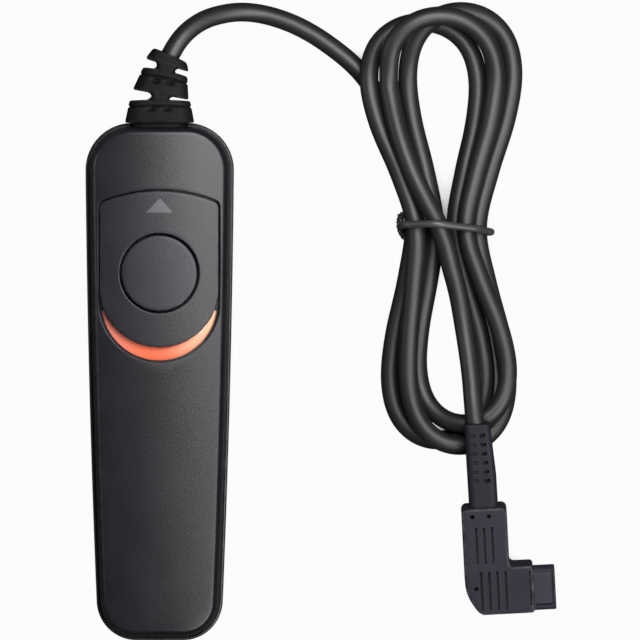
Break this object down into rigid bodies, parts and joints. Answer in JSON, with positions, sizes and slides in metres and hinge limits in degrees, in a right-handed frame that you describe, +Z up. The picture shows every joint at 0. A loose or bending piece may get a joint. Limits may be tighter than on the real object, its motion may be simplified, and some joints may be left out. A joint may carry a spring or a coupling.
{
  "type": "wired camera shutter release",
  "caption": "Slim wired handset with a sliding hold plate round a round two-stage button, ribbed cord boot, cord tied in a hank and a right-angle socket plug.",
  "frame": {"origin": "middle of the handset's flat back, with the handset lying on it", "axes": "+X to the handset's right, +Y along the handset towards its cord, +Z up out of the button"},
  "size_m": [0.0893, 0.1208, 0.0181],
  "materials": {
    "back_plastic": "fine matt black moulding",
    "front_plastic": "fine matt black moulding with a slight sheen",
    "mark_plastic": "orange-red marker",
    "slider_plastic": "fine matt black moulding",
    "button_plastic": "fine matt dark grey moulding",
    "carriage_plastic": "plain natural moulding",
    "steel": "zinc-plated steel",
    "screw_black": "blackened steel",
    "board": "green solder mask",
    "contact_metal": "plated spring bronze",
    "spacer_board": "phenolic board",
    "wire_white": "insulation",
    "wire_red": "insulation",
    "wire_yellow": "insulation",
    "cord_rubber": "smooth satin jacket",
    "boot_rubber": "matt moulded rubber",
    "tie_plastic": "coated wire",
    "plug_rubber": "satin blue-grey moulding",
    "plug_plastic": "satin blue-grey moulding"
  },
  "bodies": {
    "handset": {"back_shell": "back_plastic", "front_shell": "front_plastic", "hold_mark": "mark_plastic", "circuit_board": "board", "board_screws": "steel", "common_leaf": "contact_metal", "focus_leaf": "contact_metal", "shutter_leaf": "contact_metal", "leaf_spacers": "spacer_board", "leaf_rivets": "contact_metal", "cable_clamp": "back_plastic", "clamp_screws": "steel", "case_screws": "screw_black", "common_wire": "wire_white", "focus_wire": "wire_red", "shutter_wire": "wire_yellow", "cord_entry": "cord_rubber", "cord_boot": "boot_rubber", "cord_lead": "cord_rubber", "cord_hank": "cord_rubber", "cord_tail": "cord_rubber", "twist_tie": "tie_plastic", "plug_boot": "plug_rubber", "plug_body": "plug_rubber", "plug_nose": "plug_plastic", "plug_contacts": "contact_metal"},
    "slider": {"hold_slider": "slider_plastic", "spring_retainer": "carriage_plastic", "button_spring": "steel", "carriage_screws": "steel"},
    "button": {"release_button": "button_plastic"}
  },
  "joints": [
    {"name": "hold_slide", "type": "slide", "parent": "handset", "child": "slider", "axis": [0, 1, 0], "range_m": [-0.0025, 0]},
    {"name": "button_press", "type": "slide", "parent": "slider", "child": "button", "axis": [0, 0, -1], "range_m": [0, 0.0012], "stiffness_N_per_m": 800, "springref_m": -0.001, "deforming": ["button_spring", "common_leaf", "focus_leaf"]}
  ]
}
